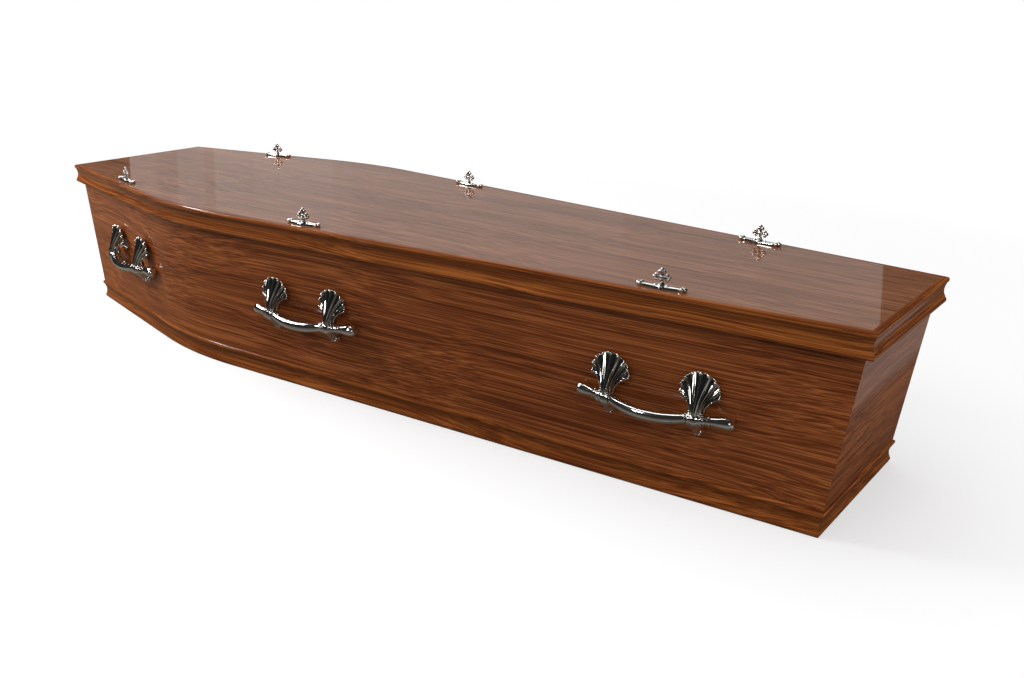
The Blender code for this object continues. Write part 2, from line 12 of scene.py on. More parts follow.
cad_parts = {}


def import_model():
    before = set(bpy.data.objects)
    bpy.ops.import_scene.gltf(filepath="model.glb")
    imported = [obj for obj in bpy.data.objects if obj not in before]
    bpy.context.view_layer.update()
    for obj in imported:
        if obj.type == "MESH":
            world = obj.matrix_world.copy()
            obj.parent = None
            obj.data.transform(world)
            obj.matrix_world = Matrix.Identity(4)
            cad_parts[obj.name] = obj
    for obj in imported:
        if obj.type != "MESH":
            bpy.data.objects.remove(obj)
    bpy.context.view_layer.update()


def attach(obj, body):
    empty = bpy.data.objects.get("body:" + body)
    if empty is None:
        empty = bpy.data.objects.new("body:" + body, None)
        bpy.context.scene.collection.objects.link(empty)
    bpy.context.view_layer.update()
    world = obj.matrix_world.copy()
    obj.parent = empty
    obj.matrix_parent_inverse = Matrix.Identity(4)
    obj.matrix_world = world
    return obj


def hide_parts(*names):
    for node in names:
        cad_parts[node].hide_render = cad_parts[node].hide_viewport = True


# Camera
PICTURE_WIDTH = 1024  # pixels
SENSOR_WIDTH = 36
CAMERA_PLACE = (1.3614, -1.3926, 0.7682)
CAMERA_AZIMUTH = math.radians(38.42)  # 0 looks along +Y, 90 along -X
CAMERA_ELEVATION = math.radians(20.44)
CAMERA_LENS = 33.895

# Folding screen that the lid mirrors
SCREEN_BACK = 8.0  # from the camera
SCREEN_LOW = 0.55
SCREEN_HEIGHT = 4.2
SCREEN_LEAN = math.radians(12)
SCREEN_FOLDS = (142, 168, 188, 214, 224, 262, 338, 356, 620, 877)  # pixels across the picture
SCREEN_STRENGTHS = (0.31, 0.27, 0.34, 0.30, 0.38, 0.40, 0.37, 0.35, 0.32)

# The box, measured over the lid's edge
LID_LENGTH = 2.000
HEAD_WIDTH = 0.362
FOOT_WIDTH = 0.328
SHOULDER_WIDTH = 0.595  # where the straight edges would meet
SHOULDER_FROM_HEAD = 0.580
SHOULDER_RADIUS = 0.900
SHOULDER_STEPS = 40
HEIGHT = 0.334
BOARD = 0.018
JOINT = 0.0001  # what is left open between two pieces that touch
SIDE_OVERHANG = 0.015  # lid edge to side board
END_OVERHANG = 0.0115  # lid edge to the top of an end board
HEAD_LEAN = math.radians(9.1)  # the end boards lean outward towards the top
FOOT_LEAN = math.radians(7.0)
MOULDING_HEIGHT = 0.042
LID_MOULDING_DEPTH = 0.010
PLINTH_PROUD = 0.004  # plinth nose past the board above it
NOSE_OUT = 0.0045
NOSE_RISE = 0.0050
COVE_SAG = 0.0030
COVE_STEPS = 14
FOOT_BEAD_OUT = 0.0026
FOOT_BEAD_RISE = 0.0042
COVE_SHADE = (0.012, 0.030)  # painted shade darkens a moulding's cove between these heights
NOSE_SHADE = (0.032, 0.035)  # and clears again between these
MITRE_ALLOWANCE = 0.040
LID_UNDER = HEIGHT - BOARD
WALL_FOOT = MOULDING_HEIGHT
WOOD_CREASE = math.radians(35)  # edges sharper than this stay sharp

# Places of the fittings along the length, from the middle of the lid
HANDLE_STATIONS = {"head": -0.688, "middle": -0.054, "foot": 0.684}
SCREW_STATIONS = {"head": -0.700, "middle": -0.056, "foot": 0.678}
SCREW_INSET = 0.024
SIDES = ((-1, "near"), (1, "far"))

# Handle bar
HANDLE_HEIGHT = 0.151
KNUCKLE_SPACING = 0.1505
KNUCKLE_OUT = 0.0245
KNUCKLE_LENGTH = 0.0235
BAR_TILT = math.radians(15)  # of its ends, back towards the board
BAR_BOW = 0.0135
BAR_DROP = 0.0055
BAR_RADIUS = 0.0096
BAR_SEAT_RADIUS = 0.0066
BAR_LEAD = 0.0035
BAR_TIP = 0.0600
BAR_SIDES = 48
BEAD_STEPS = 6
COLLAR_OUT = 0.0022  # knuckle to the middle of a collar
BAR_RING_OUT = 0.0100  # knuckle to the middle of the ring past it
CLUB_OUT = 0.0120  # knuckle to the start of the club end
CLUB_NOSE = 0.0085
CLUB_FACETS = 8
METAL_CREASE = math.radians(50)

# Shell that carries the bar
RING_RADIUS = 0.0127
BORE_RADIUS = 0.0077
SHELL_FLUTES = 8
FAN_COLUMNS = 80  # of the mesh, on each side of the middle
FAN_ROWS = 44
SHELL_RADIUS = 0.0322
SHELL_CENTRE = 0.0395  # above the bar
SHELL_SPREAD = math.radians(98)
SHELL_RIM_OUT = 0.0105  # off the board, all round the rim
SHELL_ROUND = 0.60  # how much of its rise the dome loses at its sides
SHELL_THICK = 0.0020
FLUTE_DEPTH = 0.0036
NECK_WIDTH = 0.0120
NECK_HEIGHT = 0.0125
NECK_OUT = 0.0335
NECK_BACK = 0.0120
ROSETTE_DROP = 0.0255
ROSETTE_RADIUS = 0.0088
PETALS = 6
TAIL_RIBS = 14

# Lid screw
PLATE_HALF_LENGTH = 0.041
PLATE_HALF_WIDTH = 0.0090
PLATE_THICK = 0.0046
BOSS_RADIUS = 0.0070
BOSS_HEIGHT = 0.0014
PLATE_BALL_RADIUS = 0.0036
PLATE_BALL_REACH = 0.0038
PLATE_BALL_LIFT = 0.0035
STUD_OUT = 0.0098  # middle of the plate to the studs beside its boss
STUD_LIFT = 0.0044
STUD_RADIUS = 0.0022
CROSS_HEIGHT = 0.0268
CROSS_ARM = 0.0088
ARM_RADIUS = 0.0029
ARM_WAIST = 0.0007  # what an arm loses halfway along
HEART_RADIUS = 0.0042  # of the ball where the arms meet
# tarnish and painted shade that darken the cross's arms, stem and collar
CROSS_TARNISH_AND_SHADE = 0.8
BALL_RADIUS = 0.0031
BALL_REACH = 0.0035  # middle of a trefoil to the middles of its balls
BUD_END = BALL_REACH + BALL_RADIUS


# Small tools


def smooth_step(value, low, high):
    share = min(1.0, max(0.0, (value - low) / (high - low)))
    return share * share * (3 - 2 * share)


def link_object(name, data):
    obj = bpy.data.objects.new(name, data)
    bpy.context.scene.collection.objects.link(obj)
    return obj


def evaluated_mesh(obj):
    bpy.context.view_layer.update()
    graph = bpy.context.evaluated_depsgraph_get()
    return bpy.data.meshes.new_from_object(obj.evaluated_get(graph))


def finish_mesh(bm, name, crease):
    bmesh.ops.recalc_face_normals(bm, faces=bm.faces)
    mesh = bpy.data.meshes.new(name)
    bm.to_mesh(mesh)
    bm.free()
    mesh.shade_smooth()
    mesh.set_sharp_from_angle(angle=crease)
    return mesh


def show(name, mesh, slot, matrix=None):
    """One piece of the coffin, in place of the solid of that name."""
    if matrix:
        mesh = mesh.copy()
        mesh.transform(matrix)
    mesh.materials.append(finishes[slot])
    obj = link_object("fine_" + name, mesh)
    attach(obj, "root")
    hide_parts(name)
    if slot == "polished_nickel":
        fittings.objects.link(obj)


# Plan of the coffin, on its +Y side


def edge_lines():
    """A point and the outward normal of the lid's head run and of its foot run."""
    head = Vector((-LID_LENGTH / 2, HEAD_WIDTH / 2))
    shoulder = Vector((-LID_LENGTH / 2 + SHOULDER_FROM_HEAD, SHOULDER_WIDTH / 2))
    foot = Vector((LID_LENGTH / 2, FOOT_WIDTH / 2))
    head_run = (shoulder - head).normalized()
    foot_run = (foot - shoulder).normalized()
    return (
        (shoulder, Vector((-head_run.y, head_run.x))),
        (shoulder, Vector((-foot_run.y, foot_run.x))),
    )


def shoulder_arc():
    """Centre of the shoulder's curve and the angles where it starts and ends."""
    (shoulder, head_normal), (_, foot_normal) = edge_lines()
    reach = SHOULDER_RADIUS / (1 + head_normal.dot(foot_normal))
    centre = shoulder - (head_normal + foot_normal) * reach
    first = math.atan2(head_normal.y, head_normal.x)
    last = math.atan2(foot_normal.y, foot_normal.x)
    return centre, first, last


def on_line(line, inset, x):
    """The point at x on an edge line moved inward by an inset."""
    point, normal = line
    y = point.y - (inset + (x - point.x) * normal.x) / normal.y
    return Vector((x, y))


def side_outline(inset, head_end, foot_end):
    """Plan line at an inset from the lid's edge, between two places along the length."""
    head_line, foot_line = edge_lines()
    centre, first, last = shoulder_arc()
    points = [on_line(head_line, inset, head_end)]
    for step in range(SHOULDER_STEPS + 1):
        angle = first + (last - first) * step / SHOULDER_STEPS
        spoke = Vector((math.cos(angle), math.sin(angle)))
        points.append(centre + spoke * (SHOULDER_RADIUS - inset))
    points.append(on_line(foot_line, inset, foot_end))
    return points


def mirrored(points):
    return [Vector((p.x, -p.y)) for p in points]


def plan_outline(inset, head_end, foot_end):
    far = side_outline(inset, head_end, foot_end)
    return mirrored(far) + far[::-1]


def head_x(height):
    """Where the head board's outer face stands at a height."""
    return END_OVERHANG - LID_LENGTH / 2 + (LID_UNDER - height) * math.tan(HEAD_LEAN)


def foot_x(height):
    return LID_LENGTH / 2 - END_OVERHANG - (LID_UNDER - height) * math.tan(FOOT_LEAN)


def along_side(point):
    """How far a point is along the side from the start of the shoulder, and how deep in."""
    (_, head_normal), (_, foot_normal) = edge_lines()
    centre, first, last = shoulder_arc()
    spoke = Vector((point.x, abs(point.y))) - centre
    angle = math.atan2(spoke.y, spoke.x)
    if angle > first:
        run = Vector((head_normal.y, -head_normal.x))
        return spoke.dot(run), SHOULDER_RADIUS - spoke.dot(head_normal)
    if angle < last:
        run = Vector((foot_normal.y, -foot_normal.x))
        curve = SHOULDER_RADIUS * (first - last)
        return curve + spoke.dot(run), SHOULDER_RADIUS - spoke.dot(foot_normal)
    return SHOULDER_RADIUS * (first - angle), SHOULDER_RADIUS - spoke.length


# Grain: each wooden piece keeps, at each vertex, its place along, across and into the wood


def side_grain(point):
    along, depth = along_side(point)
    return along, point.z, depth


def end_grain(point):
    return point.y, point.z, abs(point.x)


def top_grain(point):
    return point.x, point.y, point.z


def keep_grain(mesh, grain, seed):
    """Seed moves the piece to another part of the tree."""
    layer = mesh.attributes.new("grain", "FLOAT_VECTOR", "POINT")
    for vertex, value in zip(mesh.vertices, layer.data):
        along, across, depth = grain(vertex.co)
        value.vector = (along + 3.7 * seed, across + 1.3 * seed, depth + 0.9 * seed)


def keep_painted_cove_shade(mesh, base):
    """Painted shade for each vertex of a moulding, from 0 to 1: deepest in its cove, under the
    nose.
    """
    layer = mesh.attributes.new("tarnish_and_shade", "FLOAT", "POINT")
    for vertex, value in zip(mesh.vertices, layer.data):
        up = vertex.co.z - base
        value.value = smooth_step(up, *COVE_SHADE) * (1 - smooth_step(up, *NOSE_SHADE))


# Boards and mouldings


def flat_curve(name, points, cyclic=True):
    curve = bpy.data.curves.new(name, "CURVE")
    curve.dimensions = "2D"
    spline = curve.splines.new("POLY")
    spline.points.add(len(points) - 1)
    for target, point in zip(spline.points, points):
        target.co = (point[0], point[1], 0, 1)
    spline.use_cyclic_u = cyclic
    return curve


def curve_bmesh(curve, bevel=None):
    obj = link_object("curve", curve)
    mesh = evaluated_mesh(obj)
    bpy.data.objects.remove(obj)
    if bevel:
        bpy.data.objects.remove(bevel)
    bm = bmesh.new()
    bm.from_mesh(mesh)
    bpy.data.meshes.remove(mesh)
    bmesh.ops.remove_doubles(bm, verts=bm.verts, dist=1e-5)
    bmesh.ops.recalc_face_normals(bm, faces=bm.faces)
    return bm


def prism(points, low, high):
    curve = flat_curve("outline", points)
    curve.fill_mode = "BOTH"
    curve.extrude = (high - low) / 2
    bm = curve_bmesh(curve)
    bmesh.ops.translate(bm, verts=bm.verts, vec=(0, 0, (high + low) / 2))
    return bm


def swept(profile, path, base):
    section = link_object("section", flat_curve("section", profile))
    curve = flat_curve("run", path, cyclic=False)
    curve.bevel_mode = "OBJECT"
    curve.bevel_object = section
    curve.use_fill_caps = True
    bm = curve_bmesh(curve, section)
    bmesh.ops.translate(bm, verts=bm.verts, vec=(0, 0, base))
    return bm


def trim(bm, point, normal):
    """Cuts away what lies in front of a plane, and closes the cut."""
    everything = bm.verts[:] + bm.edges[:] + bm.faces[:]
    cut = bmesh.ops.bisect_plane(
        bm, geom=everything, plane_co=point, plane_no=normal, clear_outer=True
    )
    rim = [item for item in cut["geom_cut"] if isinstance(item, bmesh.types.BMEdge)]
    bmesh.ops.holes_fill(bm, edges=rim)


def foot_corner(inset, height, depth=0.0):
    """A far corner of the walls: inset is from the lid's edge, depth into the end board."""
    x = foot_x(height) - depth / math.cos(FOOT_LEAN)
    point = on_line(edge_lines()[1], inset, x)
    return Vector((point.x, point.y, height))


def head_corner(inset, height, depth=0.0):
    x = head_x(height) + depth / math.cos(HEAD_LEAN)
    point = on_line(edge_lines()[0], inset, x)
    return Vector((point.x, point.y, height))


def wall_mitre(corner):
    """The leaning mitre plane between a side board and an end board, its normal to the end."""
    outer_low = corner(SIDE_OVERHANG, WALL_FOOT)
    outer_high = corner(SIDE_OVERHANG, LID_UNDER)
    inner_low = corner(SIDE_OVERHANG + BOARD, WALL_FOOT, BOARD)
    normal = (inner_low - outer_low).cross(outer_high - outer_low).normalized()
    if normal.x * outer_low.x < 0:
        normal.negate()
    return outer_low, normal


def flipped(vector, side):
    return Vector((vector.x, vector.y * side, vector.z))


def side_board(name, side, seed):
    over = LID_LENGTH / 2
    outer = side_outline(SIDE_OVERHANG, -over, over)
    inner = side_outline(SIDE_OVERHANG + BOARD, -over, over)
    outline = outer + inner[::-1]
    if side < 0:
        outline = mirrored(outline)
    bm = prism(outline, WALL_FOOT, LID_UNDER - JOINT)
    for corner in (foot_corner, head_corner):
        point, normal = wall_mitre(corner)
        trim(bm, flipped(point - normal * JOINT / 2, side), flipped(normal, side))
    mesh = finish_mesh(bm, name, WOOD_CREASE)
    keep_grain(mesh, side_grain, seed)
    show(name, mesh, "gloss_veneer")


def end_board(name, corner, lean, turn, seed):
    """The head or the foot board: turn is how it stands round from facing +X."""
    bm = bmesh.new()
    bmesh.ops.create_cube(bm, size=1)
    bmesh.ops.scale(bm, vec=(BOARD, SHOULDER_WIDTH, 2 * HEIGHT), verts=bm.verts)
    bmesh.ops.translate(bm, vec=(-BOARD / 2, 0, 0), verts=bm.verts)
    top = Matrix.Translation((LID_LENGTH / 2 - END_OVERHANG, 0, LID_UNDER))
    leaning = Matrix.Rotation(turn, 4, "Z") @ top @ Matrix.Rotation(lean, 4, "Y")
    bmesh.ops.transform(bm, matrix=leaning, verts=bm.verts)
    trim(bm, (0, 0, LID_UNDER - JOINT), (0, 0, 1))
    trim(bm, (0, 0, WALL_FOOT), (0, 0, -1))
    point, normal = wall_mitre(corner)
    for side in (-1, 1):
        trim(bm, flipped(point + normal * JOINT / 2, side), -flipped(normal, side))
    mesh = finish_mesh(bm, name, WOOD_CREASE)
    keep_grain(mesh, end_grain, seed)
    show(name, mesh, "gloss_veneer")


def arc(centre, radii, first, last, steps):
    """Points of an elliptical arc between two angles in degrees."""
    points = []
    for step in range(steps + 1):
        angle = math.radians(first + (last - first) * step / steps)
        x = centre[0] + radii[0] * math.cos(angle)
        y = centre[1] + radii[1] * math.sin(angle)
        points.append((x, y))
    return points


def moulding_profile(depth):
    """Nose, cove and lower bead, as (outward, up) from the nose's line and the foot."""
    nose_middle = (-NOSE_OUT, MOULDING_HEIGHT - NOSE_RISE)
    nose = arc(nose_middle, (NOSE_OUT, NOSE_RISE), 90, -58, 14)
    foot_bead = arc((-FOOT_BEAD_OUT, FOOT_BEAD_RISE), (FOOT_BEAD_OUT, FOOT_BEAD_RISE), 55, -90, 12)
    top_out, top_up = nose[-1]
    low_out, low_up = foot_bead[0]
    cove = []
    for step in range(1, COVE_STEPS):
        along = step / COVE_STEPS
        sag = COVE_SAG * math.sin(math.pi * along)
        out = top_out + (low_out - top_out) * along - sag
        up = top_up + (low_up - top_up) * along
        cove.append((out, up))
    return [(-depth, MOULDING_HEIGHT)] + nose + cove + foot_bead + [(-depth, 0.0)]


def runs(inset, head_end, foot_end):
    """Plan paths of the four mouldings of one ring, anticlockwise."""
    far = side_outline(inset, head_end, foot_end)
    near = mirrored(far)
    return {
        "near_side": near,
        "foot": [near[-1], far[-1]],
        "far_side": far[::-1],
        "head": [far[0], near[0]],
    }


def corner_normal(before, after):
    """Normal of the mitre plane where one path ends and the next starts."""
    arriving = (before[-1] - before[-2]).normalized()
    leaving = (after[1] - after[0]).normalized()
    bisector = (arriving + leaving).normalized()
    return Vector((bisector.x, bisector.y, 0))


def lengthened(path):
    """A path with both ends carried on, for the mitres to be cut from."""
    first = path[0] - (path[1] - path[0]).normalized() * MITRE_ALLOWANCE
    last = path[-1] + (path[-1] - path[-2]).normalized() * MITRE_ALLOWANCE
    return [first] + path[1:-1] + [last]


def lean_with_walls(bm):
    """Draws the ends in towards the ground, as the end boards above do."""
    for vertex in bm.verts:
        if vertex.co.x > 0:
            share = vertex.co.x / foot_x(WALL_FOOT)
            vertex.co.x -= share * (WALL_FOOT - vertex.co.z) * math.tan(FOOT_LEAN)
        else:
            share = vertex.co.x / head_x(WALL_FOOT)
            vertex.co.x += share * (WALL_FOOT - vertex.co.z) * math.tan(HEAD_LEAN)


def moulding_ring(prefix, paths, profile, base, seed, leaning=False):
    """Four mouldings that meet in mitres round the plan."""
    names = list(paths)
    for index, name in enumerate(names):
        path = paths[name]
        arriving = corner_normal(paths[names[index - 1]], path)
        leaving = corner_normal(path, paths[names[(index + 1) % len(names)]])
        bm = swept(profile, lengthened(path), base)
        trim(bm, path[-1].to_3d() - leaving * JOINT / 2, leaving)
        trim(bm, path[0].to_3d() + arriving * JOINT / 2, -arriving)
        if leaning:
            lean_with_walls(bm)
        full_name = f"{prefix}_{name}"
        mesh = finish_mesh(bm, full_name, WOOD_CREASE)
        grain = side_grain if "side" in name else end_grain
        keep_grain(mesh, grain, seed + index)
        # painted shade in the cove under the nose
        keep_painted_cove_shade(mesh, base)
        show(full_name, mesh, "gloss_moulding")


def plinth():
    """The ring of mouldings that the walls stand on, proud of them and a joint lower."""
    profile = moulding_profile(BOARD + PLINTH_PROUD)
    squeeze = 1 - JOINT / MOULDING_HEIGHT
    profile = [(out + PLINTH_PROUD, up * squeeze) for out, up in profile]
    paths = runs(SIDE_OVERHANG, head_x(WALL_FOOT), foot_x(WALL_FOOT))
    moulding_ring("plinth", paths, profile, 0, 11, leaning=True)


def lid():
    edge = LID_LENGTH / 2
    board_edge = LID_MOULDING_DEPTH + JOINT
    outline = plan_outline(board_edge, board_edge - edge, edge - board_edge)
    mesh = finish_mesh(prism(outline, LID_UNDER, HEIGHT), "lid_board", WOOD_CREASE)
    keep_grain(mesh, top_grain, 5)
    show("lid_board", mesh, "gloss_lid_veneer")
    profile = moulding_profile(LID_MOULDING_DEPTH)
    moulding_ring("lid_moulding", runs(0, -edge, edge), profile, HEIGHT - MOULDING_HEIGHT, 21)


def base_board():
    inset = SIDE_OVERHANG + BOARD + JOINT
    head = head_x(WALL_FOOT) + BOARD + JOINT
    foot = foot_x(WALL_FOOT) - BOARD - JOINT
    bm = prism(plan_outline(inset, head, foot), 0, BOARD)
    lean_with_walls(bm)
    mesh = finish_mesh(bm, "base_board", WOOD_CREASE)
    keep_grain(mesh, top_grain, 8)
    show("base_board", mesh, "plain_board")


# Metalwork: closed skins, turned and swept bodies, and balls


def add_skin(bm, rows, closed_rows=False, cap=False):
    """Faces between rows of points. Closed rows run round, and a cap closes both ends."""
    grid = [[bm.verts.new(point) for point in row] for row in rows]
    count = len(grid[0])
    last = count if closed_rows else count - 1
    for low, high in zip(grid, grid[1:]):
        for index in range(last):
            following = (index + 1) % count
            bm.faces.new((low[index], low[following], high[following], high[index]))
    if cap:
        bm.faces.new(grid[0])
        bm.faces.new(grid[-1][::-1])
    return grid


def add_ball(bm, centre, radius, squash=1.0, segments=16, rings=10):
    """A ball, squashed along Y by a factor."""
    matrix = Matrix.Translation(centre) @ Matrix.Scale(squash, 4, (0, 1, 0))
    bmesh.ops.create_uvsphere(
        bm, u_segments=segments, v_segments=rings, radius=radius, matrix=matrix
    )


def frame_along(direction, centre):
    turn = Vector(direction).to_track_quat("Z", "Y").to_matrix().to_4x4()
    return Matrix.Translation(centre) @ turn


def add_turned(bm, profile, matrix, sides=40, closed=False, ribs=0, rib_depth=0.0):
    """A turned body: profile is (radius, height) along +Z of the matrix."""
    rows = []
    for radius, height in profile:
        row = []
        for step in range(sides):
            angle = 2 * math.pi * step / sides
            reach = radius
            if ribs:
                reach -= rib_depth * abs(math.sin(ribs * angle / 2))
            row.append(matrix @ Vector((reach * math.cos(angle), reach * math.sin(angle), height)))
        rows.append(row)
    if closed:
        rows.append(rows[0])
    add_skin(bm, rows, closed_rows=True, cap=not closed)


def add_tube(bm, points, radii, sides=10):
    """A round tube through points."""
    rows = []
    for index, point in enumerate(points):
        before = points[max(0, index - 1)]
        after = points[min(len(points) - 1, index + 1)]
        turn = frame_along(after - before, point)
        row = []
        for step in range(sides):
            angle = 2 * math.pi * step / sides
            spoke = Vector((math.cos(angle), math.sin(angle), 0)) * radii[index]
            row.append(turn @ spoke)
        rows.append(row)
    add_skin(bm, rows, closed_rows=True, cap=True)


# Handle: X along the board, -Y out of it, Z up, the origin on the board level with the knuckles


def bar_lead():
    """From the middle of a knuckle to where the bow starts."""
    return KNUCKLE_LENGTH / 2 + BAR_LEAD


def bow_arc():
    """Radius and half angle of the bowed middle of the bar, and the way it bows."""
    half_chord = KNUCKLE_SPACING / 2 - bar_lead() * math.cos(BAR_TILT)
    bow = Vector((0, bar_lead() * math.sin(BAR_TILT) - BAR_BOW, -BAR_DROP))
    radius = (half_chord**2 + bow.length**2) / (2 * bow.length)
    return radius, math.asin(half_chord / radius), bow.normalized()


def knuckle_run():
    """Distance along the bar from its middle to the middle of a knuckle."""
    radius, sweep, _ = bow_arc()
    return radius * sweep + bar_lead()


def bar_point(run):
    """A point of the bar's axis, by its distance along the bar from the middle."""
    radius, sweep, bow = bow_arc()
    angle = min(abs(run) / radius, sweep)
    straight = max(0.0, abs(run) - radius * sweep)
    across = radius * math.sin(angle) + straight * math.cos(BAR_TILT)
    point = bow * radius * (math.cos(angle) - math.cos(sweep))
    point.y -= KNUCKLE_OUT + (bar_lead() - straight) * math.sin(BAR_TILT)
    point.x = math.copysign(across, run)
    return point


def bead(middle, half, low, high):
    """A turned bead as (distance along, radius), low and high in shares of the bar's radius."""
    points = []
    for step in range(BEAD_STEPS + 1):
        angle = math.pi * step / BEAD_STEPS
        run = middle - half * math.cos(angle)
        points.append((run, BAR_RADIUS * (low + (high - low) * math.sin(angle))))
    return points


def bar_profile():
    """The turned bar from its middle outward, as (distance along, radius)."""
    inner = knuckle_run() - KNUCKLE_LENGTH / 2
    outer = knuckle_run() + KNUCKLE_LENGTH / 2
    tip = knuckle_run() + BAR_TIP
    middle = []
    for step in range(1, 13):
        along = step / 12
        middle.append(((inner - 0.0042) * along, BAR_RADIUS * (1 - 0.14 * along**3)))
    inner_collar = bead(inner - COLLAR_OUT, 0.0016, low=0.82, high=1.02)
    seat = [(inner - 0.0003, BAR_SEAT_RADIUS), (outer + 0.0003, BAR_SEAT_RADIUS)]
    outer_collar = bead(outer + COLLAR_OUT, 0.0017, low=0.80, high=1.12)
    ring = bead(outer + BAR_RING_OUT, 0.0018, low=0.80, high=1.05)
    start = outer + CLUB_OUT
    end = tip - CLUB_NOSE
    club = []
    for step in range(13):
        along = step / 12
        swell = 0.80 + 0.37 * smooth_step(along, 0.0, 0.9)
        club.append((start + (end - start) * along, BAR_RADIUS * swell))
    nose = []
    for step in range(1, 9):
        angle = math.pi / 2 * step / 8
        run = end + (tip - end) * math.sin(angle)
        nose.append((run, BAR_RADIUS * (0.32 + 0.85 * math.cos(angle))))
    return middle + inner_collar + seat + outer_collar + ring + club + nose + [(tip, 0.0002)]


def bar_reach(run, radius, angle):
    """The club ends are cut in shallow facets."""
    start = knuckle_run() + KNUCKLE_LENGTH / 2 + 0.016
    share = smooth_step(abs(run), start, knuckle_run() + BAR_TIP - 0.010)
    return radius * (1 - 0.045 * share * abs(math.sin(CLUB_FACETS * angle / 2)))


def bar_mesh():
    outward = bar_profile()
    stations = [(-run, radius) for run, radius in outward[::-1]] + [(0.0, BAR_RADIUS)] + outward
    across = Vector((1, 0, 0)).cross(bow_arc()[2])
    rows = []
    for run, radius in stations:
        tangent = (bar_point(run + 0.0005) - bar_point(run - 0.0005)).normalized()
        out = tangent.cross(across)
        row = []
        for step in range(BAR_SIDES):
            angle = 2 * math.pi * step / BAR_SIDES
            reach = bar_reach(run, radius, angle)
            spoke = out * math.cos(angle) + across * math.sin(angle)
            row.append(bar_point(run) + spoke * reach)
        rows.append(row)
    bm = bmesh.new()
    add_skin(bm, rows, closed_rows=True, cap=True)
    return finish_mesh(bm, "handle_bar", WOOD_CREASE)


def flute_share(across):
    """0 on a ridge of the shell and 1 in the middle of a flute."""
    phase = (across + 1) / 2 * SHELL_FLUTES
    return math.sqrt(math.sin(math.pi * phase) ** 2 + 0.03) - 0.17


def shell_plan(across, row, thin=0.0):
    """Across and up on the shell: across from -1 to 1, row from 0 at the neck to 1 at the rim."""
    if row < 0:
        return Vector((across * NECK_WIDTH, NECK_HEIGHT + 0.04 * row))
    angle = across * SHELL_SPREAD
    reach = SHELL_RADIUS - 0.0016 * flute_share(across) - thin
    neck = Vector((across * NECK_WIDTH, NECK_HEIGHT))
    bend = Vector((across * NECK_WIDTH * 1.05, SHELL_CENTRE * 0.72))
    rim = Vector((reach * math.sin(angle), SHELL_CENTRE + reach * math.cos(angle)))
    return neck * (1 - row) ** 2 + bend * 2 * row * (1 - row) + rim * row**2


def shell_out(across, row):
    """The shell is a dome that swells from the board at its rim to the front of the ring."""
    up = max(row, 0.0)
    rise = (1 - up**1.7) * (1 - SHELL_ROUND * across**2)
    return SHELL_RIM_OUT + (NECK_OUT - SHELL_RIM_OUT) * rise


def shell_front(across, row):
    plan = shell_plan(across, row)
    depth = FLUTE_DEPTH * (0.25 + 0.75 * smooth_step(row, 0.0, 0.7))
    out = shell_out(across, row) + 0.0008 - depth * flute_share(across)
    return Vector((plan.x, -out, plan.y))


def shell_back(across, row):
    """Behind the front by the shell's thickness, and down to a solid root at the neck."""
    plan = shell_plan(across, row, 0.0006)
    thin = shell_out(across, row) - SHELL_THICK - 0.5 * FLUTE_DEPTH * flute_share(across)
    out = NECK_BACK + (thin - NECK_BACK) * smooth_step(row, 0.0, 0.45)
    return Vector((plan.x * 0.985, -out, plan.y))


def add_fan(bm, tarnish_and_shade):
    """The thin fluted fan, closed round its edge, with a rolled border and a beaded rim."""
    columns = [index / FAN_COLUMNS for index in range(-FAN_COLUMNS, FAN_COLUMNS + 1)]
    rows = [index / FAN_ROWS for index in range(-4, FAN_ROWS + 1)]
    front = [[shell_front(across, row) for across in columns] for row in rows]
    back = [[shell_back(across, row) for across in columns] for row in rows]
    loops = [low + high[::-1] for low, high in zip(front, back)]
    # the front darkens with tarnish and painted shade by how deep in a flute it lies, the back
    # takes it all
    for line in add_skin(bm, loops, closed_rows=True, cap=True):
        for across, vertex in zip(columns, line):
            vertex[tarnish_and_shade] = flute_share(across)
        for vertex in line[len(columns) :]:
            vertex[tarnish_and_shade] = 1.0
    for side in (-1, 1):
        edge = [shell_front(side, row / 30) for row in range(-2, 31)]
        add_tube(bm, edge, [0.0013] * len(edge))
    rim = [shell_front(across, 1.0) for across in columns]
    add_tube(bm, rim, [0.0011] * len(rim), 8)
    for ridge in range(SHELL_FLUTES + 1):
        across = 2 * ridge / SHELL_FLUTES - 1
        add_ball(bm, shell_front(across, 0.98), 0.0025, segments=14, rings=10)


def ring_profile():
    """The barrel round the bar, as a closed section of (radius, height)."""
    half = KNUCKLE_LENGTH / 2
    outer = []
    for step in range(49):
        height = half * (step / 24 - 1)
        share = abs(height) / half
        if share < 0.52:
            radius = RING_RADIUS * (0.90 + 0.10 * math.cos(share / 0.52 * math.pi / 2))
        else:
            wave = abs(math.sin(2 * math.pi * (share - 0.52) / 0.48))
            radius = RING_RADIUS * (0.82 + 0.10 * wave)
        outer.append((radius, height))
    return [(BORE_RADIUS, -half)] + outer + [(BORE_RADIUS, half)]


